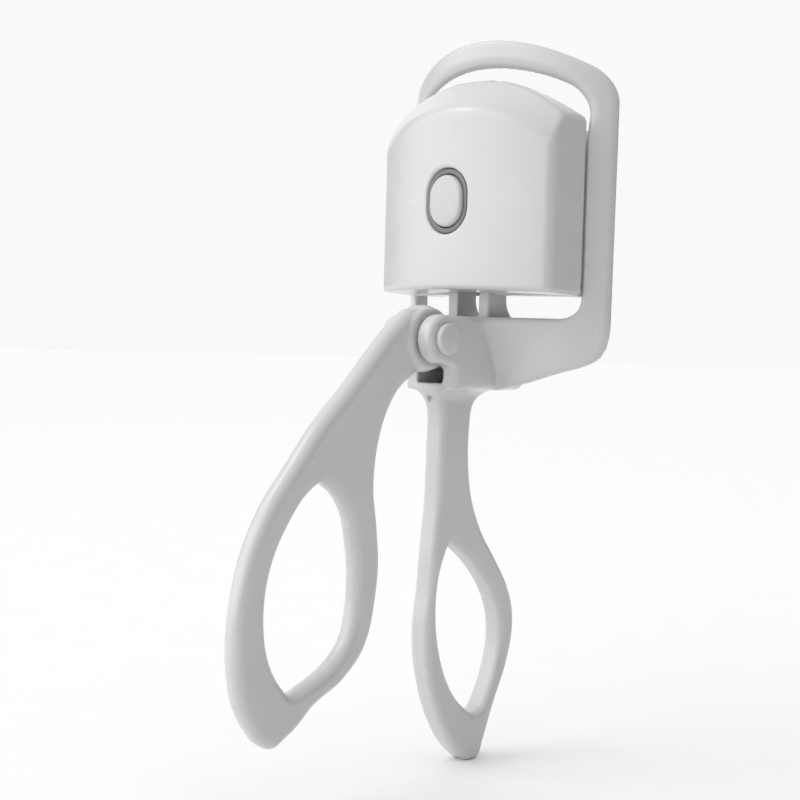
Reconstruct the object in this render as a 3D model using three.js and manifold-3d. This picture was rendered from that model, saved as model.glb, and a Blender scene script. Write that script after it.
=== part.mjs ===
// Heated eyelash curler, clamp type, handles open.
// Millimetres. X runs across the eye, +Y towards the face, +Z up.
// Everything is drawn around the pivot of the two handles; the last group moves the
// origin to the middle of the rear handle's finger loop.
import * as THREE from 'three';
import { mergeVertices } from 'three/addons/utils/BufferGeometryUtils.js';
import Module from 'manifold-3d';

const wasm = await Module();
wasm.setup();

// ---------------------------------------------------------------- driving sizes
const GAP = 0.3; // clearance between neighbouring pieces
const LOOP_CENTRE = { y: 10.8, z: -43.5 }; // rear finger loop, measured from the pivot

const ARCH = {
  halfWidth: 19.9, waist: 19.6, apex: 45.05, crown: 33.5, corner: 6.5,
  windowHalfWidth: 16.5, windowApex: 40.9, windowCrown: 32.8, windowCorner: 5.9,
  depth: 1.6, bow: 30, front: 11.3, // plan radius of the arch and y of its middle
};
const YOKE = { top: 3.5, heel: -3.6, floor: -7.6, sill: 2.8 };
const EAR = { radius: 3.6, inner: 2.5, outer: 5.05 };
const POCKET = { halfWidth: 4.6, front: 10.05, back: 18, floor: -6.5, block: 6.4 };
const PIN = { radius: 1.5, headRadius: 2.3, headThickness: 0.65 };
const FRONT_HANDLE = { thickness: 3.5, hub: 4.9, bossRadius: 4.5, boss: 2.2 };
const REAR_HANDLE = { thickness: 4 };
const HANDLE_GROWTH = 0.3; // both handles' outlines are drawn to their rounded edges
const GUSSET = { inner: 16.5, outer: 18, setBack: 0.5 }; // behind each lower corner of the arch
const LINK = { y: 12.4, z: -1.45, radius: 1, halfLength: 4.3, slack: 0.4 };
const FORK = { inner: 2.05, outer: 4, front: 10.4, webFront: 11.4, back: 14.8 };

const HEAD = {
  base: 6.8, halfWidth: 17.05, frontHalfWidth: 16.5, crown: 26, apex: 39, corner: 1.6,
  bowCentre: 38.85, frontBow: 34.4, seamBow: 28.4, backBow: 22.4,
  slope: 0.86, crease: 33.85, creaseCrown: 21.2, wall: 1.6, backWall: 1.3, rearHalfWidth: 15.9,
};
const JAW = {
  centre: 4.6, pad: 32.95, padSeat: 31.1, plate: 30.8, plateSeat: 29.8, film: 29.5, filmSeat: 29.1,
  pocket: 28.8, halfWidth: 11.5, bowCentre: 41.3, frontBow: 30.35, backBow: 27.75,
  roof: 36.5, roofCrown: 22, ceiling: 32.2, ceilingCrown: 27.6,
};
const BUTTON = { z: 20.5, width: 5.9, height: 7.4, recessWidth: 7.9, recessHeight: 9.8, proud: 4.15 };
const BOARD = { halfWidth: 8.8, front: 10, thickness: 1, bottom: 10.5, top: 30 };
const SOCKET = { z: 20, y: 12.9, height: 9, depth: 3.2, mouth: -16.6, back: -9.4 };
const SCREW = { x: 12.3, z: 11.3, radius: 0.9, hole: 1.25, headRadius: 1.9, seat: 17 };

// ---------------------------------------------------------------- shape helpers
const curler = new THREE.Group();
const v2 = (x, y) => new THREE.Vector2(x, y);
const TURN_TO_X = new THREE.Matrix4().makeBasis(
  new THREE.Vector3(0, 1, 0), new THREE.Vector3(0, 0, 1), new THREE.Vector3(1, 0, 0));

// A closed geometry as a solid that can be joined and cut.
function solid(geometry) {
  const bare = geometry.clone();
  bare.deleteAttribute('normal');
  bare.deleteAttribute('uv');
  const merged = mergeVertices(bare, 1e-4);
  const source = merged.index.array;
  const triVerts = [];
  for (let i = 0; i < source.length; i += 3) {
    const [a, b, c] = [source[i], source[i + 1], source[i + 2]];
    if (a !== b && b !== c && c !== a) triVerts.push(a, b, c);
  }
  const vertProperties = new Float32Array(merged.attributes.position.array);
  return new wasm.Manifold(
    new wasm.Mesh({ numProp: 3, vertProperties, triVerts: new Uint32Array(triVerts) }));
}

const union = (...pieces) => pieces.reduce((whole, piece) => whole.add(piece));
const cut = (whole, ...tools) => tools.reduce((rest, tool) => rest.subtract(tool), whole);
const common = (...pieces) => pieces.reduce((whole, piece) => whole.intersect(piece));

function extrude(points, depth, bevel, holes, grow = 0) {
  const outline = THREE.ShapeUtils.isClockWise(points) ? points.slice().reverse() : points;
  const shape = new THREE.Shape(outline);
  for (const hole of holes) shape.holes.push(new THREE.Path(hole));
  const round = bevel > 0;
  const geometry = new THREE.ExtrudeGeometry(shape, {
    depth: depth - 2 * bevel, steps: 1, bevelEnabled: round, bevelSegments: 1,
    bevelSize: bevel, bevelThickness: bevel, bevelOffset: grow - bevel,
  });
  return geometry.translate(0, 0, bevel);
}

// An outline in (x, z) carried along Y from y0 to y1.
function alongY(outline, y0, y1, bevel = 0) {
  return solid(extrude(outline, y1 - y0, bevel, []).rotateX(Math.PI / 2).translate(0, y1, 0));
}

// An outline in (y, z) carried along X from x0 to x1.
function alongX(outline, x0, x1, bevel = 0, holes = [], grow = 0) {
  const geometry = extrude(outline, x1 - x0, bevel, holes, grow);
  return solid(geometry.applyMatrix4(TURN_TO_X).translate(x0, 0, 0));
}

// An outline in (x, y) carried along Z from z0 to z1.
function alongZ(outline, z0, z1) {
  return solid(extrude(outline, z1 - z0, 0, []).translate(0, 0, z0));
}

function box(x0, x1, y0, y1, z0, z1) {
  const geometry = new THREE.BoxGeometry(x1 - x0, y1 - y0, z1 - z0);
  return solid(geometry.translate((x0 + x1) / 2, (y0 + y1) / 2, (z0 + z1) / 2));
}

// A pin or hole along X, Y or Z between two stations.
function rod(axis, radius, from, to, a, b, sides = 32) {
  const geometry = new THREE.CylinderGeometry(radius, radius, to - from, sides);
  const middle = (from + to) / 2;
  if (axis === 'x') return solid(geometry.rotateZ(Math.PI / 2).translate(middle, a, b));
  if (axis === 'y') return solid(geometry.translate(a, middle, b));
  return solid(geometry.rotateX(Math.PI / 2).translate(a, b, middle));
}

// A tall upright cylinder: the bowed walls are all pieces of such cylinders.
const bowed = (radius, centreY) => rod('z', radius, -30, 70, 0, centreY, 120);

// Points on an arc, from one angle to another in degrees.
function arc(cx, cy, radius, from, to, steps) {
  return Array.from({ length: steps + 1 }, (_, i) => {
    const angle = THREE.MathUtils.degToRad(from + ((to - from) * i) / steps);
    return v2(cx + radius * Math.cos(angle), cy + radius * Math.sin(angle));
  });
}

// A crowned top with rounded shoulders, from the right side over to the left.
function crownedTop(halfWidth, apex, crown, corner, steps = 14) {
  const crownCentre = apex - crown;
  const cornerX = halfWidth - corner;
  const rise = Math.sqrt((crown - corner) ** 2 - cornerX ** 2);
  const cornerZ = crownCentre + rise;
  const join = THREE.MathUtils.radToDeg(Math.atan2(rise, cornerX));
  return [
    ...arc(cornerX, cornerZ, corner, 0, join, 6),
    ...arc(0, crownCentre, crown, join, 180 - join, steps).slice(1, -1),
    ...arc(-cornerX, cornerZ, corner, 180 - join, 180, 6),
  ];
}

// The same crowned top closed by straight sides and a level bottom.
const crownedBox = (halfWidth, apex, crown, corner, bottom) =>
  [v2(halfWidth, bottom), ...crownedTop(halfWidth, apex, crown, corner), v2(-halfWidth, bottom)];

// A slot with round ends, its long side along the second coordinate.
function stadium(width, height, a, b) {
  const radius = width / 2;
  const straight = height / 2 - radius;
  return [...arc(a, b + straight, radius, 0, 180, 12), ...arc(a, b - straight, radius, 180, 360, 12)];
}

// A smooth closed curve through hand-placed points.
function smooth(points, count) {
  const curve = new THREE.CatmullRomCurve3(
    points.map(([a, b]) => new THREE.Vector3(a, b, 0)), true, 'centripetal');
  return curve.getPoints(count).slice(0, -1).map((p) => v2(p.x, p.y));
}

const mirrored = (points) => [...points, ...points.map((p) => v2(-p.x, p.y)).reverse()];

// ---------------------------------------------------------------- materials
const finish = (color, roughness, metalness = 0) => ({ color, roughness, metalness });
const WHITE_GLOSS = finish(0xe4e4e4, 0.22);
const WHITE_CAP = finish(0xe8e8e8, 0.28);
const GREY_RING = finish(0x8a8c8e, 0.35);
const STEEL = finish(0xb9bcc0, 0.25, 1);
const ALUMINIUM = finish(0xc9ccd0, 0.4, 1);
const SILICONE = finish(0xc9cacb, 0.6);
const AMBER_FILM = finish(0xb8742a, 0.35);
const BOARD_GREEN = finish(0x1f5a3a, 0.5);
const CELL_SILVER = finish(0xa9adb2, 0.45);
const BLACK = finish(0x202124, 0.5);
const LED_CLEAR = finish(0xf1f0d8, 0.2);
const LEAD_RED = finish(0xa62a22, 0.45);

function part(name, piece, look) {
  const { vertProperties, triVerts } = piece.getMesh();
  const geometry = new THREE.BufferGeometry();
  geometry.setAttribute('position', new THREE.BufferAttribute(new Float32Array(vertProperties), 3));
  geometry.setIndex(new THREE.BufferAttribute(new Uint32Array(triVerts), 1));
  geometry.computeVertexNormals();
  const mesh = new THREE.Mesh(geometry, new THREE.MeshStandardMaterial(look));
  mesh.name = name;
  curler.add(mesh);
}

// ---------------------------------------------------------------- frame
// Arch, posts, cross yoke, pivot ears and rear handle are one moulding.
function archAndYoke() {
  const heelCurve = new THREE.QuadraticBezierCurve(
    v2(ARCH.waist, YOKE.top - 2), v2(ARCH.waist - 0.3, YOKE.heel + 0.8), v2(16.3, YOKE.heel));
  const rightHeel = heelCurve.getPoints(6);
  const outline = [
    ...crownedTop(ARCH.halfWidth, ARCH.apex, ARCH.crown, ARCH.corner, 22),
    ...rightHeel.map((p) => v2(-p.x, p.y)),
    v2(-4.5, YOKE.floor), v2(4.5, YOKE.floor),
    ...rightHeel.slice().reverse(),
  ];
  const sill = YOKE.sill;
  const windowSide = ARCH.windowHalfWidth;
  const window = [
    ...crownedTop(windowSide, ARCH.windowApex, ARCH.windowCrown, ARCH.windowCorner, 22),
    ...arc(sill - windowSide, YOKE.top + sill, sill, 180, 270, 5),
    ...arc(windowSide - sill, YOKE.top + sill, sill, 270, 360, 5),
  ];
  const slab = cut(alongY(outline, 0, 30), alongY(window, -1, 31));
  const bowCentre = ARCH.front + ARCH.bow;
  const band = cut(
    common(slab, bowed(ARCH.bow, bowCentre)), bowed(ARCH.bow, bowCentre + ARCH.depth));
  return union(band, gusset(-1), gusset(1), common(yokeRoot(), alongY(outline, 0, 30)));
}

function gusset(side) {
  const outline = [v2(17, -2.4), v2(19.6, -1), v2(19.6, 6.6), v2(17, 8)];
  const [near, far] = [side * GUSSET.inner, side * GUSSET.outer];
  const rib = alongX(outline, Math.min(near, far), Math.max(near, far));
  return common(rib, bowed(ARCH.bow - GUSSET.setBack, ARCH.front + ARCH.bow));
}

// The middle of the yoke flares forward to the ears and back around the fork.
function yokeRoot() {
  const flare = [
    v2(POCKET.block, 16.8), v2(11.5, 15.1), v2(11.5, 13.8), v2(8.2, 11.4), v2(6.2, 8.6),
    v2(EAR.outer, 4.5),
  ];
  return alongZ(mirrored(flare), YOKE.floor, YOKE.top);
}

function pivotBlock() {
  const side = [
    v2(12, YOKE.top), ...arc(0, 0, EAR.radius, 90, 270, 20), v2(2.2, -4.4),
    v2(2.3, -6.8), v2(3.1, YOKE.floor), v2(12, YOKE.floor),
  ];
  return alongX(side, -EAR.outer, EAR.outer);
}

// Wings that carry the block down into the narrow neck of the handle.
function neckWings() {
  const half = REAR_HANDLE.thickness / 2;
  const wing = [v2(EAR.outer, -6.9), ...arc(EAR.outer, -10.2, EAR.outer - half, 90, 180, 6)];
  return alongY(mirrored(wing), 2.9, 9.6);
}

function rearHandle() {
  const half = REAR_HANDLE.thickness / 2;
  const outline = smooth([
    [10.6, -5.6], [10.45, -8.7], [9.55, -10.8], [9.55, -15], [9.75, -20], [11.05, -25.5], [13.85, -30.4],
    [17.65, -35.2], [20.65, -40.2], [21.45, -45], [20.25, -50.4], [17.35, -56.4], [15.15, -61.6],
    [12.9, -63.9], [10, -63], [5.4, -57.6], [3.2, -52.2], [1.7, -45.6], [1.7, -40.5], [2.8, -31.8],
    [3.6, -24], [3.8, -15], [3.6, -10.5], [3.1, -8.6], [3.6, -5.6]], 84);
  const loop = smooth([
    [6.6, -30.3], [9.69, -32.2], [13.6, -35.4], [17.2, -39.4], [18.8, -43.6], [19.1, -47.4], [18, -51.8],
    [16.2, -55.4], [13.49, -57.6], [9.69, -55.9], [6.2, -51.6], [4, -46.4], [3.2, -41], [4, -35.2],
    [5.4, -31.2]], 60);
  return alongX(outline, -half, half, 0.6, [loop], HANDLE_GROWTH);
}

function frame() {
  const slot = box(-EAR.inner, EAR.inner, -10, POCKET.back, POCKET.floor, YOKE.top + 5);
  const pocket = box(
    -POCKET.halfWidth, POCKET.halfWidth, POCKET.front, POCKET.back, POCKET.floor, YOKE.top + 5);
  const body = union(archAndYoke(), pivotBlock(), neckWings(), rearHandle());
  return cut(body, slot, pocket, rod('x', PIN.radius + GAP, -10, 10, 0, 0));
}

// ---------------------------------------------------------------- pivot
function pivotPin() {
  const seat = EAR.outer + GAP;
  const shaft = rod('x', PIN.radius, -seat - PIN.headThickness - 0.1, seat + 0.2, 0, 0);
  return union(shaft, rod('x', PIN.headRadius, seat, seat + PIN.headThickness, 0, 0));
}

function pinRetainer() {
  const seat = EAR.outer + GAP;
  const washer = rod('x', PIN.headRadius, -seat - PIN.headThickness, -seat, 0, 0);
  return cut(washer, rod('x', PIN.radius + GAP, -10, 0, 0, 0));
}

// ---------------------------------------------------------------- front handle
function frontHandle() {
  const half = FRONT_HANDLE.thickness / 2;
  const outline = smooth([
    [-2.8, 3.9], [-6.4, 1.7], [-11.1, -2.7], [-15.3, -6.9], [-20.6, -12.4], [-25, -17.6], [-29.6, -23],
    [-32.6, -28.8], [-34.3, -34.3], [-34.9, -39.3], [-34.7, -44.5], [-33.7, -48.8], [-31.6, -52.4],
    [-29.9, -54.4], [-27.6, -55], [-24.85, -53.6], [-21.45, -50.9], [-15.55, -47.8], [-12.25, -45.4],
    [-10.45, -42.2], [-9.35, -38], [-8.85, -32.6], [-9.35, -27.1], [-10.15, -21.4], [-10.05, -17.8],
    [-9.25, -14.1], [-7.85, -10.6], [-5.6, -7.3], [-2.6, -5], [0, -2], [0, 2]], 100);
  const loop = smooth([
    [-20.3, -19.6], [-17, -21], [-14.5, -24.6], [-13.2, -29.6], [-12.8, -34.6], [-13.1, -39.4],
    [-14.3, -43.2], [-17.4, -46.2], [-22.2, -48.4], [-25.7, -48.9], [-28.3, -46.2], [-30.2, -42.2],
    [-30.7, -38], [-30.3, -33.6], [-28.9, -29.1], [-26.42, -24.9], [-23.2, -21]], 64);
  const arm = alongX(outline, -half, half, 0.7, [loop], HANDLE_GROWTH);
  const hub = union(
    rod('x', FRONT_HANDLE.hub, -half, half, 0, 0, 40),
    rod('x', FRONT_HANDLE.bossRadius, -FRONT_HANDLE.boss, FRONT_HANDLE.boss, 0, 0, 40));
  const bores = union(
    rod('x', PIN.radius + GAP, -10, 10, 0, 0),
    rod('x', LINK.radius + LINK.slack, -10, 10, LINK.y, LINK.z, 24));
  return cut(union(arm, hub, lever(half)), bores);
}

// The short arm behind the pivot that lifts the head.
function lever(half) {
  const tip = 2.3;
  const outline = [
    v2(0, FRONT_HANDLE.hub - 0.2), v2(3.4, 3.3), ...arc(LINK.y, LINK.z, tip, 75, -90, 10),
    v2(3, -4.2), v2(0, -4.6),
  ];
  return alongX(outline.reverse(), -half, half);
}

// ---------------------------------------------------------------- lift fork
// Two legs joined by a web inside the head; they ride up and down in the yoke.
function liftFork() {
  const leg = [
    v2(FORK.webFront, 13), v2(FORK.webFront, 9.6), v2(FORK.front, 8.8), v2(FORK.front, -2.6),
    v2(11.4, -4.2), v2(13.6, -4.2), v2(15.9, -1.6), v2(16.3, 3.2), v2(15.4, 4.2),
    v2(FORK.back, 6), v2(FORK.back, 13),
  ];
  const legs = union(alongX(leg, -FORK.outer, -FORK.inner), alongX(leg, FORK.inner, FORK.outer));
  const web = box(-FORK.outer, FORK.outer, FORK.webFront, FORK.back - 0.8, 9.8, 13);
  return cut(union(legs, web), rod('x', LINK.radius + GAP, -10, 10, LINK.y, LINK.z, 24));
}

const linkPin = () => rod('x', LINK.radius, -LINK.halfLength, LINK.halfLength, LINK.y, LINK.z, 24);

// ---------------------------------------------------------------- head shells
// The crowned outline swept backwards and upwards, which slopes the front of the roof.
function slopedRoof(halfWidth, apex, crown, corner) {
  const span = 30;
  const outline = crownedBox(halfWidth, apex, crown, corner, -40);
  const geometry = extrude(outline, span, 0, []).rotateX(Math.PI / 2).translate(0, span, 0);
  const frontY = HEAD.bowCentre - HEAD.frontBow;
  const shear = new THREE.Matrix4().set(
    1, 0, 0, 0, 0, 1, 0, 0, 0, HEAD.slope, 1, -HEAD.slope * frontY, 0, 0, 0, 1);
  return solid(geometry.applyMatrix4(shear));
}

// The block that both shells are cut from, shrunk by an even wall where wanted.
function headBlock(inset) {
  const crown = HEAD.crown - inset;
  const corner = Math.max(HEAD.corner - inset, 1);
  const halfWidth = HEAD.halfWidth - inset;
  const apex = HEAD.apex - inset;
  const plan = [
    v2(HEAD.frontHalfWidth - inset, 4), v2(HEAD.frontHalfWidth - inset, 8.55), v2(halfWidth, 16.3),
    v2(halfWidth, 24)];
  return common(
    alongY(crownedBox(halfWidth, apex, crown, corner, HEAD.base + inset), 0, 30),
    slopedRoof(halfWidth, HEAD.crease - inset * 1.3, HEAD.creaseCrown - inset, corner),
    alongZ(mirrored(plan), 0, 60),
    bowed(HEAD.frontBow - inset, HEAD.bowCentre));
}

// The fork passes through the bottom of the head.
function forkHole() {
  const half = FORK.outer + GAP;
  return box(-half, half, FORK.front - GAP, FORK.back + GAP, HEAD.base - 1, HEAD.base + HEAD.wall + 1);
}

function frontShell() {
  const { wall, bowCentre, seamBow } = HEAD;
  const shell = cut(headBlock(0), headBlock(wall));
  const bosses = [-1, 1].map((side) => rod('y', 2.1, 7.5, 14, side * SCREW.x, SCREW.z, 20));
  const pilots = [-1, 1].map((side) => rod('y', SCREW.hole, 8.6, 16, side * SCREW.x, SCREW.z, 16));
  const whole = union(shell, ...bosses.map((boss) => common(boss, headBlock(0.5))));
  const buttonHole = alongY(stadium(BUTTON.recessWidth, BUTTON.recessHeight, 0, BUTTON.z), 0, 8);
  const socketHole = alongX(
    stadium(SOCKET.depth + 0.6, SOCKET.height + 0.6, SOCKET.y, SOCKET.z), -20, -14);
  return cut(whole, bowed(seamBow + GAP / 2, bowCentre), buttonHole, socketHole, forkHole(), ...pilots);
}

function rearShell() {
  const { wall, backWall, bowCentre, seamBow, backBow, rearHalfWidth: side, base } = HEAD;
  const outer = cut(
    common(
      alongY(crownedBox(side, JAW.roof, JAW.roofCrown, 3, base), 0, 30),
      bowed(seamBow - GAP / 2, bowCentre)),
    bowed(backBow, bowCentre));
  const hollow = cut(
    alongY(crownedBox(side - wall, JAW.ceiling, JAW.ceilingCrown, 2, base + wall), 0, 30),
    bowed(backBow + backWall, bowCentre));
  const bosses = [-1, 1].map((s) => common(rod('y', 2.8, 13.4, 24, s * SCREW.x, SCREW.z, 20), outer));
  const holes = [-1, 1].flatMap((s) => [
    rod('y', SCREW.hole, 0, 24, s * SCREW.x, SCREW.z, 16),
    rod('y', SCREW.headRadius + 0.4, SCREW.seat, 24, s * SCREW.x, SCREW.z, 20),
    rod('z', 0.8, 29, 35, s * 5, 13, 12),
  ]);
  return cut(union(cut(outer, hollow), ...bosses), jawPocket(), forkHole(), ...holes);
}

// ---------------------------------------------------------------- heated jaw
// The seat of the strips, open upwards and towards the front shell.
function jawPocket() {
  const strip = jawStrip(JAW.pocket, 40, GAP);
  return union(strip, strip.translate([0, -1.2, 0]));
}

// A curved strip under the arch, between two radii of the jaw's crown.
function jawStrip(inner, outer, margin) {
  const half = JAW.halfWidth + margin;
  const sweep = (radius) => THREE.MathUtils.radToDeg(Math.acos(half / radius));
  const strip = [
    ...arc(0, JAW.centre, outer, sweep(outer), 180 - sweep(outer), 24),
    ...arc(0, JAW.centre, inner, 180 - sweep(inner), sweep(inner), 24),
  ];
  return cut(
    common(alongY(strip, 5, 30), bowed(JAW.frontBow + margin, JAW.bowCentre)),
    bowed(JAW.backBow - margin, JAW.bowCentre));
}

const temperatureSensor = () => solid(new THREE.SphereGeometry(0.7, 16, 12).translate(0, 12.8, 31.2));

function lead(points) {
  const path = new THREE.CatmullRomCurve3(points.map((p) => new THREE.Vector3(...p)));
  const section = new THREE.Shape(arc(0, 0, 0.35, 0, 315, 7));
  return solid(new THREE.ExtrudeGeometry(section, { steps: 10, bevelEnabled: false, extrudePath: path }));
}

const heaterLead = (x) =>
  lead([[x, 10.5, 30.4], [x, 11, 31], [x, 12, 30.9], [x, 12.9, 31.4], [x, 13, 32.8]]);
const batteryLead = (x) => lead([[x, 13, 30.4], [x, 12.7, 31], [x, 11.2, 31.1], [x, 10.5, 30.4]]);

// ---------------------------------------------------------------- button and electronics
function buttonCap() {
  const { width, height, z, proud } = BUTTON;
  return union(
    alongY(stadium(width, height, 0, z), proud, 8, 0.5),
    alongY(stadium(width + 1.7, height + 2, 0, z), 7.8, 8.4));
}

function lightRing() {
  const { recessWidth, recessHeight, width, height, z } = BUTTON;
  return cut(
    union(
      alongY(stadium(recessWidth - 0.6, recessHeight - 0.6, 0, z), 5, 7),
      alongY(stadium(recessWidth + 2.3, recessHeight + 2.3, 0, z), 6.8, 7.5)),
    alongY(stadium(width + 0.6, height + 0.6, 0, z), 0, 9));
}

function circuitBoard() {
  const { halfWidth, front, thickness, bottom, top } = BOARD;
  const back = front + thickness;
  return union(
    box(-halfWidth, halfWidth, front, back, bottom, top), box(-12.6, -halfWidth + 1, front, back, 15, 25));
}

const tactileSwitch = () =>
  union(box(-2.3, 2.3, 9.1, 9.7, BUTTON.z - 2.3, BUTTON.z + 2.3), rod('y', 1, 8.85, 9.3, 0, BUTTON.z, 20));

const statusLed = () => box(-0.8, 0.8, 9.1, 9.7, 26.9, 27.9);

const battery = () => alongY([
  v2(-8.2, 17), v2(8.2, 17), v2(8.2, 30), v2(-8.2, 30)], 11.6, 14.3, 0.4);

function usbSocket() {
  const { z, y, height, depth, mouth, back } = SOCKET;
  return cut(
    alongX(stadium(depth, height, y, z), mouth, back),
    alongX(stadium(depth - 0.6, height - 0.6, y, z), mouth - 1, back - 1));
}

function usbTongue() {
  const { z, y, mouth, back } = SOCKET;
  return box(mouth + 0.7, back - 1.3, y - 0.35, y + 0.35, z - 3.3, z + 3.3);
}

function rearScrew(side) {
  const x = side * SCREW.x;
  const seat = SCREW.seat + GAP;
  const head = rod('y', SCREW.headRadius, seat, seat + 1.3, x, SCREW.z, 20);
  const shaft = rod('y', SCREW.radius, 9.2, seat + 0.5, x, SCREW.z, 16);
  const recess = 0.28;
  const cross = union(
    box(x - 1.1, x + 1.1, seat + 0.7, 20, SCREW.z - recess, SCREW.z + recess),
    box(x - recess, x + recess, seat + 0.7, 20, SCREW.z - 1.1, SCREW.z + 1.1));
  return cut(union(head, shaft), cross);
}

// ---------------------------------------------------------------- assembly
part('frame', frame(), WHITE_GLOSS);
part('pivot_pin', pivotPin(), WHITE_GLOSS);
part('pin_retainer', pinRetainer(), WHITE_GLOSS);
part('front_handle', frontHandle(), WHITE_GLOSS);

part('lift_fork', liftFork(), WHITE_GLOSS);
part('link_pin', linkPin(), STEEL);
part('front_shell', frontShell(), WHITE_GLOSS);
part('rear_shell', rearShell(), WHITE_GLOSS);
part('silicone_pad', jawStrip(JAW.padSeat, JAW.pad, 0), SILICONE);
part('heater_plate', jawStrip(JAW.plateSeat, JAW.plate, 0), ALUMINIUM);
part('heating_film', jawStrip(JAW.filmSeat, JAW.film, 0), AMBER_FILM);
part('temperature_sensor', temperatureSensor(), BLACK);
part('light_ring', lightRing(), GREY_RING);
part('circuit_board', circuitBoard(), BOARD_GREEN);
part('tactile_switch', tactileSwitch(), BLACK);
part('status_led', statusLed(), LED_CLEAR);
part('battery', battery(), CELL_SILVER);
part('usb_socket', usbSocket(), STEEL);
part('usb_tongue', usbTongue(), BLACK);
part('button_cap', buttonCap(), WHITE_CAP);
for (const [side, word] of [[-1, 'left'], [1, 'right']]) {
  part(`rear_screw_${word}`, rearScrew(side), STEEL);
  part(`heater_lead_${word}`, heaterLead(side * 5), BLACK);
  part(`battery_lead_${word}`, batteryLead(side * 2), side > 0 ? LEAD_RED : BLACK);
}

curler.position.set(0, -LOOP_CENTRE.y, -LOOP_CENTRE.z);
const group = new THREE.Group();
group.add(curler);

export default group;
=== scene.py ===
"""Looks of the heated eyelash curler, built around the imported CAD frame.

The moulded pieces are smooth solids: each is a signed distance in millimetres around the
pivot, meshed on a grid and then pulled exactly onto its surface, so that every edge has the
round that a moulding has.
"""

import math

import bpy
import numpy as np
from mathutils import Matrix, Vector


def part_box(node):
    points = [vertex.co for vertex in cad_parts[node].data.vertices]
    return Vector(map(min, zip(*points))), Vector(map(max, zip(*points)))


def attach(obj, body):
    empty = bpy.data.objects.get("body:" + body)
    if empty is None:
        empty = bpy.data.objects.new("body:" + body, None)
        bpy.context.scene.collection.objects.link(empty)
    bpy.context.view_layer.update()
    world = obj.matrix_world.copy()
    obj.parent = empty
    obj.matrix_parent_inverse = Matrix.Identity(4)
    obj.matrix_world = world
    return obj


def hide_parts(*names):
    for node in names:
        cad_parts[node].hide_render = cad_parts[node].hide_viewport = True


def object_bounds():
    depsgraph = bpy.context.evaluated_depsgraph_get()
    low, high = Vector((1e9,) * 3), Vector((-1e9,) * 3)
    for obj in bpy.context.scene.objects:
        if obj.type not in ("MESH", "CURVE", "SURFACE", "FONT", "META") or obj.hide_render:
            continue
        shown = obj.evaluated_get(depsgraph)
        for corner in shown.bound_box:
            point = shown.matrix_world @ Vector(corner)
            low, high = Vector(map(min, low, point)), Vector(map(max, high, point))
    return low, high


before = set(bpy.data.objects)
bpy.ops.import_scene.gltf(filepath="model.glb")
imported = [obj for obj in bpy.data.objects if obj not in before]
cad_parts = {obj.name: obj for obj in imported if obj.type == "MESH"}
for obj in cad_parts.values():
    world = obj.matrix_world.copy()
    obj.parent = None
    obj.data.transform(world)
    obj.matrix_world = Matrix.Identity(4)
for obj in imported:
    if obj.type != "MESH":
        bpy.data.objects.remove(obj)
CAD_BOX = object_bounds()

MM = 0.001
PIVOT = [(low + high) / 2 for low, high in zip(*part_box("pivot_pin"))]
PIVOT[0] = 0.0


# ------------------------------------------------------------------ distances
def smooth_loop(points, per_span=14):
    """A smooth closed curve through given points."""
    p = np.array(points, float)
    after, before = np.roll(p, -1, 0), np.roll(p, 1, 0)
    ahead = np.linalg.norm(after - p, axis=1)[:, None]
    behind = np.linalg.norm(p - before, axis=1)[:, None]
    slope = ((p - before) / behind * ahead + (after - p) / ahead * behind) / (ahead + behind)
    t = (np.arange(per_span) / per_span)[None, :, None]
    start, stop = p[:, None], after[:, None]
    m0, m1 = (slope * ahead)[:, None], (np.roll(slope, -1, 0) * ahead)[:, None]
    curve = ((2 * t**3 - 3 * t**2 + 1) * start + (t**3 - 2 * t**2 + t) * m0
             + (3 * t**2 - 2 * t**3) * stop + (t**3 - t**2) * m1)
    return curve.reshape(-1, 2)


def arc(cx, cy, radius, start, stop, steps):
    angle = np.radians(np.linspace(start, stop, steps + 1))
    return np.stack([cx + radius * np.cos(angle), cy + radius * np.sin(angle)], 1)


def crowned_top(half, apex, crown, corner, steps=60):
    """A crowned top with rounded shoulders, from right to left."""
    side = half - corner
    rise = math.sqrt((crown - corner) ** 2 - side**2)
    join = math.degrees(math.atan2(rise, side))
    z = apex - crown
    return np.concatenate([
        arc(side, z + rise, corner, 0, join, 16),
        arc(0, z, crown, join, 180 - join, steps)[1:-1],
        arc(-side, z + rise, corner, 180 - join, 180, 16)])


def polygon(points):
    """Signed distance to a closed outline, as a function of its two coordinates."""
    p = np.array(points, float)
    edges = list(zip(p, np.roll(p, -1, 0)))

    def distance(u, v):
        u, v = np.broadcast_arrays(u, v)
        flat_u, flat_v = u.ravel(), v.ravel()
        out = np.empty(flat_u.shape)
        for first in range(0, len(out), 8192):
            a, b = flat_u[first:first + 8192], flat_v[first:first + 8192]
            best, inside = np.full(a.shape, 1e9), np.zeros(a.shape, bool)
            for (u0, v0), (u1, v1) in edges:
                eu, ev = u1 - u0, v1 - v0
                du, dv = a - u0, b - v0
                t = np.clip((du * eu + dv * ev) / (eu * eu + ev * ev + 1e-12), 0, 1)
                best = np.minimum(best, (du - t * eu) ** 2 + (dv - t * ev) ** 2)
                if v0 != v1:
                    inside ^= ((v0 <= b) != (v1 <= b)) & (du < dv * eu / ev)
            out[first:first + 8192] = np.where(inside, -1, 1) * np.sqrt(best)
        return out.reshape(u.shape)

    return distance


def stadium(u, v, width, height):
    """Signed distance to a slot with round ends, long along v."""
    straight = (height - width) / 2
    return np.hypot(u, np.maximum(np.abs(v) - straight, 0)) - width / 2


def both(a, b, r=0.0):
    """Where two solids overlap, with their common edge rounded."""
    if np.isscalar(r) and r == 0:
        return np.maximum(a, b)
    return np.minimum(np.maximum(a, b), -r) + np.hypot(np.maximum(a + r, 0), np.maximum(b + r, 0))


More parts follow.
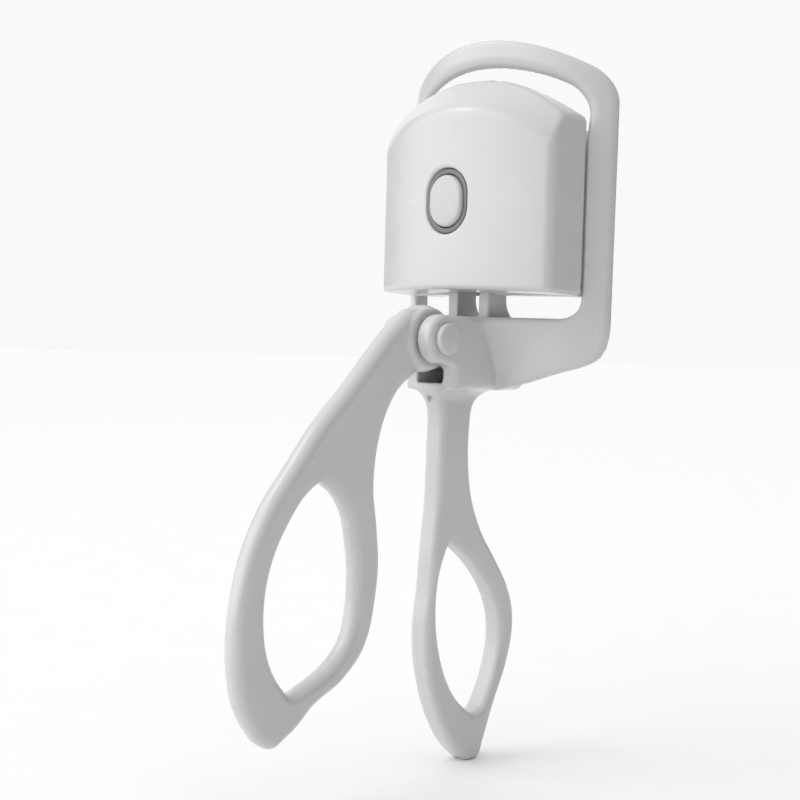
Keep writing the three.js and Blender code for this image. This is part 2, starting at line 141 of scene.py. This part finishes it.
def joined(a, b, r=0.0):
    """Two solids in one, with a fillet of radius r between them."""
    return -both(-a, -b, r)


def less(a, b, r=0.0):
    """The first solid with the second cut out of it."""
    return both(a, -b, r)


def slab(value, low, high, r=0.0):
    return both(low - value, value - high, r)


def block(x, y, z, low, high, r=0.0):
    return both(both(slab(x, low[0], high[0]), slab(y, low[1], high[1]), r),
                slab(z, low[2], high[2]), r)


def step(value, low, high):
    """Smooth 0 to 1 between two values."""
    t = np.clip((value - low) / (high - low), 0, 1)
    return t * t * (3 - 2 * t)


# ------------------------------------------------------------------ meshing
def surface_net(value, origin, cell):
    """Vertices and quads of the zero surface of a grid of distances."""
    inside = value < 0
    nx, ny, nz = (n - 1 for n in value.shape)
    count = sum(inside[i:i + nx, j:j + ny, k:k + nz].astype(np.int8)
                for i in (0, 1) for j in (0, 1) for k in (0, 1))
    active = (count > 0) & (count < 8)
    index = np.full(active.shape, -1)
    index[active] = np.arange(active.sum())
    total, hits = np.zeros((active.sum(), 3)), np.zeros(active.sum())
    quads = []
    for axis in range(3):
        u, v = (axis + 1) % 3, (axis + 2) % 3
        first = [slice(None)] * 3
        second = [slice(None)] * 3
        first[axis], second[axis] = slice(None, -1), slice(1, None)
        a, b = value[tuple(first)], value[tuple(second)]
        where = np.argwhere((a < 0) != (b < 0))
        keep = np.all([(where[:, u] > 0), (where[:, u] < value.shape[u] - 1),
                       (where[:, v] > 0), (where[:, v] < value.shape[v] - 1)], 0)
        where = where[keep]
        va, vb = a[tuple(where.T)], b[tuple(where.T)]
        point = where.astype(float)
        point[:, axis] += va / (va - vb)
        cells = []
        for du, dv in ((-1, -1), (0, -1), (0, 0), (-1, 0)):
            c = where.copy()
            c[:, u] += du
            c[:, v] += dv
            c = index[tuple(c.T)]
            cells.append(c)
            np.add.at(total, c, point)
            np.add.at(hits, c, 1)
        quad = np.stack(cells, 1)
        quad[va >= 0] = quad[va >= 0][:, ::-1]
        quads.append(quad)
    return origin + total / hits[:, None] * cell, np.concatenate(quads)


def mould(name, field, low, high, cell=0.3):
    """A smooth solid as a Blender object, from its distance in millimetres round the pivot."""
    axes = [np.arange(a, b + cell, cell) for a, b in zip(low, high)]
    grid = np.meshgrid(*axes, indexing="ij", sparse=True)
    value = np.ascontiguousarray(np.broadcast_to(field(*grid), [len(a) for a in axes]))
    points, quads = surface_net(value, np.array([a[0] for a in axes]), cell)
    tiny = 1e-3
    for _ in range(3):
        here = field(*points.T)
        slope = np.stack([field(*(points + tiny * np.eye(3)[i]).T) - here for i in range(3)], 1) / tiny
        size = np.maximum((slope**2).sum(1), 0.25)[:, None]
        points = points - np.clip(here[:, None] * slope / size, -cell / 2, cell / 2)
    mesh = bpy.data.meshes.new(name)
    mesh.from_pydata((points * MM + PIVOT).tolist(), [], quads.tolist())
    mesh.validate()
    mesh.shade_smooth()
    piece = bpy.data.objects.new(name, mesh)
    bpy.context.collection.objects.link(piece)
    return piece


# ------------------------------------------------------------------ frame
BORE = 1.8  # radius of the pivot's hole
ARCH_HALF, ARCH_APEX, ARCH_CROWN, ARCH_CORNER = 19.9, 45.05, 33.5, 6.5
WINDOW_HALF, WINDOW_APEX, WINDOW_CROWN, WINDOW_CORNER, SILL = 16.5, 40.9, 32.8, 5.9, 2.8
BOW, BOW_FRONT, ARCH_DEPTH = 30.0, 11.3, 1.6
EAR, EAR_INNER, EAR_OUTER = 3.6, 2.5, 5.05
YOKE_TOP, YOKE_FLOOR = 3.5, -7.5
POCKET, POCKET_FRONT, POCKET_FLOOR, BLOCK_HALF, BLOCK_BACK = 4.6, 10.05, -6.5, 6.4, 16.8
GUSSET_LOW, GUSSET_HIGH = (16.5, 16.4, -2.4), (18.0, 19.7, 8.0)  # behind the arch's lower corners
REAR_HANDLE_HALF = 2.0
GROW = 0.3  # the handles' outlines were drawn to their rounded edges

heel = [(-19.75, 2.4), (-19.65, 0.8), (-19.35, -0.8), (-18.7, -2.2), (-17.7, -3.05), (-16.4, -3.7),
        (-13.6, -4.65), (-9.7, -6.1), (-6.9, -7.0), (-4.6, YOKE_FLOOR)]
arch_outline = polygon(np.concatenate([
    crowned_top(ARCH_HALF, ARCH_APEX, ARCH_CROWN, ARCH_CORNER, 90),
    heel, [(-x, z) for x, z in reversed(heel)]]))
arch_window = polygon(np.concatenate([
    crowned_top(WINDOW_HALF, WINDOW_APEX, WINDOW_CROWN, WINDOW_CORNER, 90),
    arc(SILL - WINDOW_HALF, YOKE_TOP + SILL, SILL, 180, 270, 10),
    arc(WINDOW_HALF - SILL, YOKE_TOP + SILL, SILL, 270, 360, 10)]))
block_side = polygon(np.concatenate([
    [(40, YOKE_TOP)], [(0.6, YOKE_TOP)], arc(0, 0, EAR, 90, 270, 40),
    [(1.5, -4.0), (2.2, -4.5), (2.3, -5.2), (2.35, YOKE_FLOOR), (40, YOKE_FLOOR)]]))
rear_outline = polygon(smooth_loop([
    (12.2, -6.6), (11.05, -8.4), (9.95, -10.4), (9.55, -13.5), (9.65, -19.3), (10.55, -23.9), (12.95, -29.1),
    (16.75, -34.05), (19.9, -38.6), (21.25, -42.2), (21.35, -45.6), (20.1, -50.4), (17.15, -56.6),
    (14.95, -61.8), (14.05, -63.8), (12.2, -64.15), (9.9, -62.7), (5.46, -57.35), (3.2, -52.2),
    (1.85, -46.5), (1.75, -42.5), (2.3, -38.2), (2.85, -31.7), (3.5, -25.7), (3.75, -16.7),
    (3.65, -10.5), (3, -8.2), (3.4, -6.4)]))
rear_loop = polygon(smooth_loop([
    (6.35, -29.9), (9.35, -31.5), (13.08, -34.4), (16.95, -38.9), (18.6, -42.4), (19.1, -46.5),
    (18.2, -51), (16.5, -54.9), (14.8, -57.2), (12.91, -57.75), (10.04, -56.2), (8, -54.3), (5.85, -51.2),
    (3.96, -46.4), (3.1, -41.35), (3.25, -36.9), (4.3, -33)]))


def frame_field(x, y, z):
    round_edge, arch_edge = 0.85, 0.62
    side = np.abs(x)
    centre = BOW_FRONT + BOW
    front = np.hypot(x, y - centre) - BOW
    back = BOW - np.hypot(x, y - centre - ARCH_DEPTH)
    outline, window = arch_outline(x, z), arch_window(x, z)
    lean_depth, lean_width = 0.85, 1.9  # the arch's inner edge leans back above the head
    lean = lean_depth * np.clip(1 - window / lean_width, 0, 1) ** 2 * step(z, 29, 36)
    arch = both(both(front + lean, back), less(outline, window), arch_edge)
    # the yoke: the arch's bow, swept forwards into the ears with a fillet that opens upwards
    low_sweep, high_sweep, sweep_start = 0.3, 5.0, -6.0
    height = np.clip((z - sweep_start) / (YOKE_TOP - sweep_start), 0, 1)
    sweep = low_sweep + (high_sweep - low_sweep) * height ** 1.3
    flatter = 1 - 0.55 * step(y, 3, 6.5)
    plan = joined(flatter * (side - EAR_OUTER), front, sweep)
    rear = joined(back, both(side - BLOCK_HALF, y - BLOCK_BACK, 1.2), 1.5)
    limits = both(block_side(y, z), outline, 0.0)
    yoke = both(both(plan, rear, round_edge), limits, round_edge)
    slot = both(side - EAR_INNER, POCKET_FLOOR - z)
    pocket = both(slab(y, POCKET_FRONT, 40), both(side - POCKET, POCKET_FLOOR - z))
    yoke = less(yoke, slot, 0.35)
    yoke = less(yoke, pocket, 0.3)
    handle = less(rear_outline(y, z) - GROW - 0.1, rear_loop(y, z) + GROW + 0.2)
    handle = both(handle, side - REAR_HANDLE_HALF, 1.2)
    body = joined(yoke, handle, 2.2)
    body = less(body, both(slot, POCKET_FLOOR - z))
    set_back = 0.8
    gusset = both(block(side, y, z, GUSSET_LOW, GUSSET_HIGH, 0.4), front + set_back)
    arch = joined(arch, gusset, 0.6)
    body = np.minimum(body, arch)
    body = less(body, np.hypot(y, z) - BORE, 0.15)
    mark_z, mark_radius, mark_floor = -8.9, 0.6, 3.0
    mark = np.hypot(x, z - mark_z) - mark_radius
    return less(body, both(mark, y - mark_floor), 0.1)


# ------------------------------------------------------------------ front handle
HANDLE_HALF, HUB, BOSS_RADIUS, BOSS_HALF = 1.75, 4.9, 4.55, 2.2
front_outline = polygon(smooth_loop([
    (-2.8, 3.95), (-6.3, 1.9), (-11.1, -2.6), (-15.1, -6.7), (-20.5, -12.2), (-24.8, -17.4),
    (-29.4, -23), (-32.5, -28.8), (-34.1, -34.3), (-34.8, -39.3), (-34.6, -44.5), (-33.6, -48.8),
    (-31.6, -52.2), (-30, -54), (-28.2, -54.95), (-26.15, -54), (-24.55, -53.1), (-21.45, -50.6),
    (-15.45, -47.6), (-12.25, -45.2), (-10.5, -42.2), (-9.45, -38), (-8.85, -32.6), (-9.35, -27.1),
    (-10.2, -21.4), (-10.05, -17.9), (-9.35, -14.2), (-7.85, -10.4), (-5.6, -7.3), (-2.7, -5.2),
    (0, -3), (0, 2.4)]))
front_loop = polygon(smooth_loop([
    (-20.5, -19.7), (-17.6, -20.9), (-14.9, -24), (-13.4, -28.9), (-12.8, -33.6), (-12.95, -38.3),
    (-14, -42.6), (-17.3, -46), (-21.6, -48.1), (-25.38, -49.15), (-27.9, -46.8), (-30, -42.7),
    (-30.7, -38.3), (-30.4, -33.6), (-29, -29.1), (-26.58, -25), (-23.4, -21.3)]))
LINK_Y, LINK_Z, LINK_BORE, TIP = 12.4, -1.45, 1.4, 2.3
DOTS, DOT_RADIUS = [(-3.0, -3.2), (-29.5, -51.0)], 0.32  # small marks left by the mould
lever_side = polygon(np.concatenate([
    [(0, 4.6), (3.2, 3.5)], arc(LINK_Y, LINK_Z, TIP, 75, -90, 24), [(3, -4.1), (0, -4.5)]]))


def handle_field(x, y, z):
    side = np.abs(x)
    # a round edge looks smaller, so the outline grows, but not where the handles meet
    grow = GROW + 0.4 * np.maximum(step(-y, 14, 24), step(-z, 45, 49))
    grip = less(front_outline(y, z) - grow, front_loop(y, z) + 2 * GROW)
    grip = both(grip, side - HANDLE_HALF, 1.6)
    lever = both(lever_side(y, z), side - HANDLE_HALF, 0.4)
    reach = np.hypot(y, z)
    hub = both(reach - HUB, side - HANDLE_HALF, 1.2)
    boss = both(reach - BOSS_RADIUS, side - BOSS_HALF, 0.45)
    body = joined(np.minimum(joined(grip, hub, 0.5), lever), boss, 0.35)
    body = less(body, reach - BORE)
    body = less(body, np.hypot(y - LINK_Y, z - LINK_Z) - LINK_BORE, 0.1)
    dots = np.minimum(*(np.hypot(y - dot_y, z - dot_z) for dot_y, dot_z in DOTS))
    return joined(body, both(dots - DOT_RADIUS, side - HANDLE_HALF - 0.1), 0.1)


# ------------------------------------------------------------------ head
HEAD_BOW_Y, FRONT_BOW, SEAM_BOW, BACK_BOW = 38.85, 34.4, 28.4, 22.4
HEAD_HALF, HEAD_BASE, HEAD_APEX, HEAD_CROWN, HEAD_CORNER, WALL = 17.15, 6.8, 39.1, 26.0, 1.6, 1.6
CREASE, CREASE_DROP, SLOPE, SLOPE_GAIN = 33.9, 4.4, 0.86, 0.84
head_profile = polygon(np.concatenate([
    crowned_top(HEAD_HALF, HEAD_APEX, HEAD_CROWN, HEAD_CORNER),
    [(-HEAD_HALF, -40), (HEAD_HALF, -40)]]))
BUTTON_Z, RECESS, CAP = 20.5, (7.9, 9.8), (6.2, 7.7)
SOCKET_Y, SOCKET_Z = 12.9, 20.0
SCREW_X, SCREW_Z = 12.3, 11.3
FORK_INNER, FORK_OUTER, FORK_FRONT, FORK_BACK = 2.05, 4.0, 10.4, 14.8


def head_block(x, y, z):
    side = np.abs(x)
    front_half, front_y, back_half, back_y = 16.55, 8.55, 17.1, 16.1
    half = front_half + (back_half - front_half) * (y - front_y) / (back_y - front_y)
    profile = head_profile(x * HEAD_HALF / half, z)
    front = np.hypot(x, y - HEAD_BOW_Y) - FRONT_BOW
    # the roof's front is sloped: gently in the middle, steeply at the shoulders
    out = np.clip(side / 16.6, 0, 1.05)
    face_y = HEAD_BOW_Y - np.sqrt(np.maximum(FRONT_BOW**2 - x**2, 1))
    rise = SLOPE + SLOPE_GAIN * out**3
    slope = (z - CREASE + CREASE_DROP * out**2.2 - rise * (y - face_y)) / np.hypot(1.1, rise)
    face = both(front, slope, 0.8)
    edge = 0.9 - 0.5 * step(z, 27, 31)
    body = both(face, profile, edge)
    base_slope = 0.054
    base = HEAD_BASE + base_slope * (back_y - y) - z
    return both(body, base, 0.6)


def fork_opening(x, y, z):
    gap = 0.3
    low = (-FORK_OUTER - gap, FORK_FRONT - gap, 0)
    return block(x, y, z, low, (FORK_OUTER + gap, FORK_BACK + gap, 10))


def front_shell_field(x, y, z):
    solid = head_block(x, y, z)
    reach = np.hypot(x, y - HEAD_BOW_Y)
    shell = less(solid, solid + WALL)
    shell = both(shell, SEAM_BOW + 0.12 - reach, 0.12)
    recess = both(stadium(x, z - BUTTON_Z, *RECESS), y - 8)
    shell = less(shell, recess, 0.4)
    socket = both(stadium(y - SOCKET_Y, z - SOCKET_Z, 3.8, 9.6), x + 14)
    shell = less(shell, socket, 0.3)
    line_z, line_half, line_depth = 8.5, 0.07, 0.1  # a fine parting line low on each side
    line = both(np.abs(z - line_z) - line_half, both(11.5 - y, 14 - np.abs(x)))
    shell = less(shell, both(line, -(solid + line_depth)), 0.05)
    return less(shell, fork_opening(x, y, z))


JAW_Z, JAW_HALF, JAW_BOW_Y, JAW_FRONT, JAW_BACK = 4.6, 11.5, 41.3, 30.35, 27.75
POCKET_SEAT, PAD_SEAT, PAD_TOP = 28.8, 31.1, 32.95
rear_profile = polygon(np.concatenate([
    crowned_top(15.9, 36.5, 22, 3), [(-15.9, HEAD_BASE), (15.9, HEAD_BASE)]]))
rear_hollow = polygon(np.concatenate([
    crowned_top(14.3, 32.2, 27.6, 2), [(-14.3, HEAD_BASE + 1.6), (14.3, HEAD_BASE + 1.6)]]))


def jaw_field(x, y, z, inner, outer, margin=0.0, r=0.0):
    reach = np.hypot(x, z - JAW_Z)
    bow = np.hypot(x, y - JAW_BOW_Y)
    plan = slab(bow, JAW_BACK - margin, JAW_FRONT + margin, r)
    ends = np.abs(x) - JAW_HALF - margin
    return both(both(slab(reach, inner, outer, r), ends, r), plan, r)


def rear_shell_field(x, y, z):
    reach = np.hypot(x, y - HEAD_BOW_Y)
    outer = both(rear_profile(x, z), slab(reach, BACK_BOW, SEAM_BOW - 0.12, 0.3), 0.5)
    hollow = both(rear_hollow(x, z), BACK_BOW + 1.3 - reach)
    shell = less(outer, hollow)
    side = np.abs(x) - SCREW_X
    screw = np.hypot(side, z - SCREW_Z)
    boss = both(screw - 2.8, both(13.4 - y, outer))
    shell = np.minimum(shell, boss)
    for forward in (0, 1.2):
        shell = less(shell, jaw_field(x, y + forward, z, POCKET_SEAT, 40, 0.3))
    shell = less(shell, fork_opening(x, y, z), 0.2)
    shell = less(shell, both(screw - 2.3, 17 - y), 0.2)
    shell = less(shell, screw - 1.25)
    wires = np.hypot(np.abs(x) - 5, y - 13) - 0.8
    return less(shell, both(wires, 29 - z))


def pad_field(x, y, z):
    return jaw_field(x, y, z, PAD_SEAT, PAD_TOP, 0.0, 0.45)


# ------------------------------------------------------------------ small mouldings
fork_side = polygon(np.concatenate([
    [(11.4, 13.0), (11.4, 9.6), (FORK_FRONT, 8.8), (FORK_FRONT, -2.6), (11.4, -4.2), (13.6, -4.2),
     (15.9, -1.6), (16.5, 2.6)],
    arc(18.0, 6.2, 3.2, 240, 180, 10), [(FORK_BACK, 8.0), (FORK_BACK, 13.0)]]))


def fork_field(x, y, z):
    side = np.abs(x)
    legs = both(fork_side(y, z), slab(side, FORK_INNER, FORK_OUTER), 0.25)
    web = block(x, y, z, (-FORK_OUTER, 11.4, 9.8), (FORK_OUTER, 14.0, 13.0), 0.2)
    return less(np.minimum(legs, web), np.hypot(y - LINK_Y, z - LINK_Z) - 1.3, 0.1)


def button_field(x, y, z):
    width, height = CAP
    shape = stadium(x, z - BUTTON_Z, width, height)
    proud, cushion = 4.15, 0.012
    face = proud + cushion * (x**2 + (z - BUTTON_Z) ** 2)
    cap = both(shape, slab(y, 0, 8.0))
    cap = both(cap, face - y, 0.5)
    flange = both(stadium(x, z - BUTTON_Z, width + 1.5, height + 1.7), slab(y, 7.8, 8.4), 0.1)
    return np.minimum(cap, flange)


def ring_field(x, y, z):
    dz = z - BUTTON_Z
    lip = both(stadium(x, dz, RECESS[0] - 0.2, RECESS[1] - 0.2), slab(y, 4.85, 7.0), 0.15)
    flange = both(stadium(x, dz, RECESS[0] + 2.3, RECESS[1] + 2.3), slab(y, 6.8, 7.5), 0.1)
    return less(np.minimum(lip, flange), stadium(x, dz, CAP[0] + 0.3, CAP[1] + 0.3), 0.12)


def pin_field(x, y, z):
    reach = np.hypot(y, z)
    shaft = both(reach - 1.5, slab(x, -5.9, 5.6), 0.1)
    dome = 6.07 - 0.022 * reach**2
    head = both(both(reach - 2.3, 5.1 - x, 0.05), x - dome, 0.38)
    return np.minimum(shaft, head)


def washer_field(x, y, z):
    return both(slab(np.hypot(y, z), 1.6, 2.3, 0.1), slab(x, -5.95, -5.15), 0.2)


# ------------------------------------------------------------------ materials
def new_material(name, colour, roughness, spread=0.05, peel=0.004, grain=0.0015, **sockets):
    """Plastic, rubber or metal: tone and gloss vary, and the skin has peel and grain."""
    material = bpy.data.materials.new(name)
    material.use_nodes = True
    nodes, links = material.node_tree.nodes, material.node_tree.links
    shader = nodes["Principled BSDF"]
    for socket, value in sockets.items():
        shader.inputs[socket.replace("_", " ")].default_value = value
    place = nodes.new("ShaderNodeTexCoord").outputs["Object"]

    def noise(scale, detail):
        node = nodes.new("ShaderNodeTexNoise")
        node.inputs["Scale"].default_value = scale
        node.inputs["Detail"].default_value = detail
        links.new(place, node.inputs["Vector"])
        return node.outputs["Fac"]

    def ramp(source, low, high, socket):
        node = nodes.new("ShaderNodeMapRange")
        node.inputs["From Min"].default_value = 0.3
        node.inputs["From Max"].default_value = 0.7
        node.inputs["To Min"].default_value = low
        node.inputs["To Max"].default_value = high
        links.new(source, node.inputs["Value"])
        links.new(node.outputs["Result"], socket)

    tone = nodes.new("ShaderNodeMix")
    tone.data_type = "RGBA"
    tone.inputs[6].default_value = (*[c * (1 - spread) for c in colour], 1)
    tone.inputs[7].default_value = (*colour, 1)
    ramp(noise(90, 4), 0, 1, tone.inputs[0])
    links.new(tone.outputs[2], shader.inputs["Base Color"])
    ramp(noise(260, 5), roughness * 0.8, roughness * 1.25, shader.inputs["Roughness"])
    first = nodes.new("ShaderNodeBump")
    first.inputs["Strength"].default_value = 0.6
    first.inputs["Distance"].default_value = peel * MM
    links.new(noise(420, 2), first.inputs["Height"])
    second = nodes.new("ShaderNodeBump")
    second.inputs["Strength"].default_value = 0.6
    second.inputs["Distance"].default_value = grain * MM
    links.new(noise(4500, 3), second.inputs["Height"])
    links.new(first.outputs["Normal"], second.inputs["Normal"])
    links.new(second.outputs["Normal"], shader.inputs["Normal"])
    return material


WHITE = new_material("white_gloss_plastic", (0.575, 0.575, 0.575), 0.22, 0.03,
                     Coat_Weight=0.25, Coat_Roughness=0.08)
CAP_WHITE = new_material("white_button_plastic", (0.54, 0.54, 0.54), 0.3, 0.03)
# the ring's dark grey is partly its own grey plastic and partly painted shade of the recess round the button
# cap
RING_GREY_WITH_GROOVE_SHADE = new_material("grey_ring_plastic_and_painted_groove_shade", (0.18, 0.18, 0.184), 0.4, 0.06)
STEEL = new_material("turned_steel", (0.62, 0.63, 0.65), 0.25, 0.08, Metallic=1.0)
ALUMINIUM = new_material("satin_aluminium", (0.78, 0.79, 0.80), 0.38, 0.06,
                         grain=0.004, Metallic=1.0)
SILICONE = new_material("pale_silicone", (0.56, 0.56, 0.565), 0.6, 0.06, grain=0.006)
AMBER = new_material("amber_film", (0.55, 0.25, 0.05), 0.3, 0.15, Coat_Weight=0.5)
GREEN = new_material("board_mask", (0.03, 0.14, 0.06), 0.42, 0.2)
FOIL = new_material("cell_foil", (0.55, 0.56, 0.58), 0.35, 0.08, peel=0.02, Metallic=0.6)
BLACK = new_material("black_plastic", (0.02, 0.02, 0.022), 0.45, 0.2)
CLEAR = new_material("led_lens", (0.85, 0.83, 0.6), 0.15, 0.05, Transmission_Weight=0.4)
RED = new_material("red_sleeve", (0.45, 0.03, 0.02), 0.5, 0.1)


def dress(piece, material, body, slot, *replaced):
    piece.data.materials.clear()
    piece.data.materials.append(material)
    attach(piece, body)
    if replaced:
        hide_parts(*replaced)


dress(mould("frame_moulding", frame_field, (-21.2, -4.6, -65.2), (21.2, 24.0, 46.0)),
      WHITE, "frame", "white_gloss", "frame")
dress(mould("front_handle_moulding", handle_field, (-2.9, -36, -57), (2.9, 16, 6)),
      WHITE, "handle", "white_gloss", "front_handle")
dress(mould("front_housing", front_shell_field, (-18.2, 3, 5.9), (18.2, 18, 40)),
      WHITE, "head", "white_gloss", "front_shell")
dress(mould("rear_housing", rear_shell_field, (-17, 9, 5.9), (17, 25, 38.6)),
      WHITE, "head", "white_gloss", "rear_shell")
dress(mould("fork_moulding", fork_field, (-4.8, 9.5, -5), (4.8, 17.5, 13.8), 0.2),
      WHITE, "head", "white_gloss", "lift_fork")
dress(mould("jaw_pad", pad_field, (-12.3, 10, 32.0), (12.3, 17.5, 38.4), 0.2),
      SILICONE, "head", "pad_silicone", "silicone_pad")
dress(mould("push_button", button_field, (-4.5, 3, 15), (4.5, 9, 26), 0.16),
      CAP_WHITE, "button", "white_cap", "button_cap")
dress(mould("button_ring", ring_field, (-5.8, 4.8, 13.8), (5.8, 8, 27.2), 0.16),
      RING_GREY_WITH_GROOVE_SHADE, "head", "grey_ring", "light_ring")
dress(mould("pivot_rivet", pin_field, (-6.4, -2.9, -2.9), (6.6, 2.9, 2.9), 0.12),
      WHITE, "frame", "white_gloss", "pivot_pin")
dress(mould("rivet_washer", washer_field, (-6.4, -2.9, -2.9), (-4.7, 2.9, 2.9), 0.12),
      WHITE, "frame", "white_gloss", "pin_retainer")

CARRIED = {
    "link_pin": STEEL, "heater_plate": ALUMINIUM, "heating_film": AMBER,
    "temperature_sensor": BLACK, "circuit_board": GREEN, "tactile_switch": BLACK,
    "status_led": CLEAR, "battery": FOIL, "usb_socket": STEEL, "usb_tongue": BLACK,
    "rear_screw_left": STEEL, "rear_screw_right": STEEL, "heater_lead_left": BLACK,
    "heater_lead_right": BLACK, "battery_lead_left": BLACK, "battery_lead_right": RED,
}
for node, material in CARRIED.items():
    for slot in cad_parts[node].material_slots:
        slot.material = material


# ------------------------------------------------------------------ stage
def direction(azimuth, elevation):
    """A unit vector from the object; azimuth 0 is the front, positive is to the right."""
    a, e = math.radians(azimuth), math.radians(elevation)
    return Vector((math.sin(a) * math.cos(e), -math.cos(a) * math.cos(e), math.sin(e)))


floor_mesh = bpy.data.meshes.new("floor")
FLOOR = CAD_BOX[0][2] - 0.0002
REACH = 4.0
floor_corners = [(-REACH, -REACH), (REACH, -REACH), (REACH, REACH), (-REACH, REACH)]
floor_mesh.from_pydata([(x, y, FLOOR) for x, y in floor_corners], [], [(0, 1, 2, 3)])
floor = bpy.data.objects.new("floor", floor_mesh)
bpy.context.collection.objects.link(floor)
floor_mesh.materials.append(new_material("pale_floor", (0.9, 0.9, 0.9), 0.7, 0.01))


def backdrop_wall(radius, height, tone, sides=64):
    """A pale wall round the stage. It is only seen, and neither lights nor shades anything."""
    ring = arc(0, 0, radius, 0, 360, sides)[:-1].tolist()
    corners = [(x, y, z) for z in (FLOOR, height) for x, y in ring]
    faces = [(i, (i + 1) % sides, (i + 1) % sides + sides, i + sides) for i in range(sides)]
    mesh = bpy.data.meshes.new("backdrop")
    mesh.from_pydata(corners, [], faces)
    wall = bpy.data.objects.new("backdrop", mesh)
    bpy.context.collection.objects.link(wall)
    paint = bpy.data.materials.new("pale_backdrop")
    paint.use_nodes = True
    shader = paint.node_tree.nodes["Principled BSDF"]
    shader.inputs["Base Color"].default_value = (0, 0, 0, 1)
    shader.inputs["Specular IOR Level"].default_value = 0
    shader.inputs["Emission Color"].default_value = (1, 1, 1, 1)
    shader.inputs["Emission Strength"].default_value = tone
    mesh.materials.append(paint)
    wall.visible_diffuse = wall.visible_glossy = wall.visible_transmission = wall.visible_shadow = False
    return wall


backdrop_wall(3.9, 4.0, 0.95)


def softbox(name, azimuth, elevation, distance, size, power):
    light = bpy.data.lights.new(name, "AREA")
    light.shape = "RECTANGLE"
    light.size, light.size_y = size
    light.energy = power
    piece = bpy.data.objects.new(name, light)
    bpy.context.collection.objects.link(piece)
    aim = direction(azimuth, elevation)
    piece.location = aim * distance
    piece.rotation_euler = aim.to_track_quat("Z", "Y").to_euler()


softbox("window", -50, 50, 0.9, (0.2, 0.2), 0.35)

world = bpy.data.worlds.new("studio")
world.use_nodes = True
bpy.context.scene.world = world
tree = world.node_tree
way = tree.nodes.new("ShaderNodeTexCoord")


def lobe(toward, start, low, high):
    """Brightness that rises from low to high towards one direction."""
    dot = tree.nodes.new("ShaderNodeVectorMath")
    dot.operation = "DOT_PRODUCT"
    dot.inputs[1].default_value = toward
    tree.links.new(way.outputs["Generated"], dot.inputs[0])
    spread = tree.nodes.new("ShaderNodeMapRange")
    spread.interpolation_type = "SMOOTHSTEP"
    spread.inputs["From Min"].default_value = start
    spread.inputs["From Max"].default_value = 1.0
    spread.inputs["To Min"].default_value = low
    spread.inputs["To Max"].default_value = high
    tree.links.new(dot.outputs["Value"], spread.inputs["Value"])
    return spread.outputs["Result"]


def added(first, second):
    total = tree.nodes.new("ShaderNodeMath")
    total.operation = "ADD"
    tree.links.new(first, total.inputs[0])
    tree.links.new(second, total.inputs[1])
    return total.outputs["Value"]


key = lobe(direction(-27, 8), 0.45, 0.06, 2.2)
overhead = lobe((0, 0, 1), 0.2, 0.0, 1.15)
backdrop = lobe(direction(-137, 8), 0.69, 0.0, 0.93)
tree.links.new(added(added(key, overhead), backdrop), tree.nodes["Background"].inputs["Color"])

# ------------------------------------------------------------------ camera
AZIMUTH, ELEVATION, ROLL = 43.15, 2.50, -1.63
CAMERA_X, CAMERA_Y, CAMERA_Z = 148.68, -162.66, 0.52  # from the pivot
SENSOR, LENS = 36, 67.59
a, e, r = (math.radians(v) for v in (AZIMUTH, ELEVATION, ROLL))
level = Vector((math.cos(a), math.sin(a), 0))
ahead = Vector((-math.sin(a) * math.cos(e), math.cos(a) * math.cos(e), -math.sin(e)))
upright = level.cross(ahead)
right = level * math.cos(r) - upright * math.sin(r)
up = level * math.sin(r) + upright * math.cos(r)
camera = bpy.data.objects.new("camera", bpy.data.cameras.new("camera"))
bpy.context.collection.objects.link(camera)
camera.data.sensor_width = SENSOR
camera.data.lens = LENS
camera.data.clip_start = 0.01
spot = Vector(PIVOT) + Vector((CAMERA_X, CAMERA_Y, CAMERA_Z)) * MM
axes = Matrix((right, up, -ahead)).transposed()
camera.matrix_world = Matrix.Translation(spot) @ axes.to_4x4()
bpy.context.scene.camera = camera
bpy.context.scene.view_settings.view_transform = "Standard"
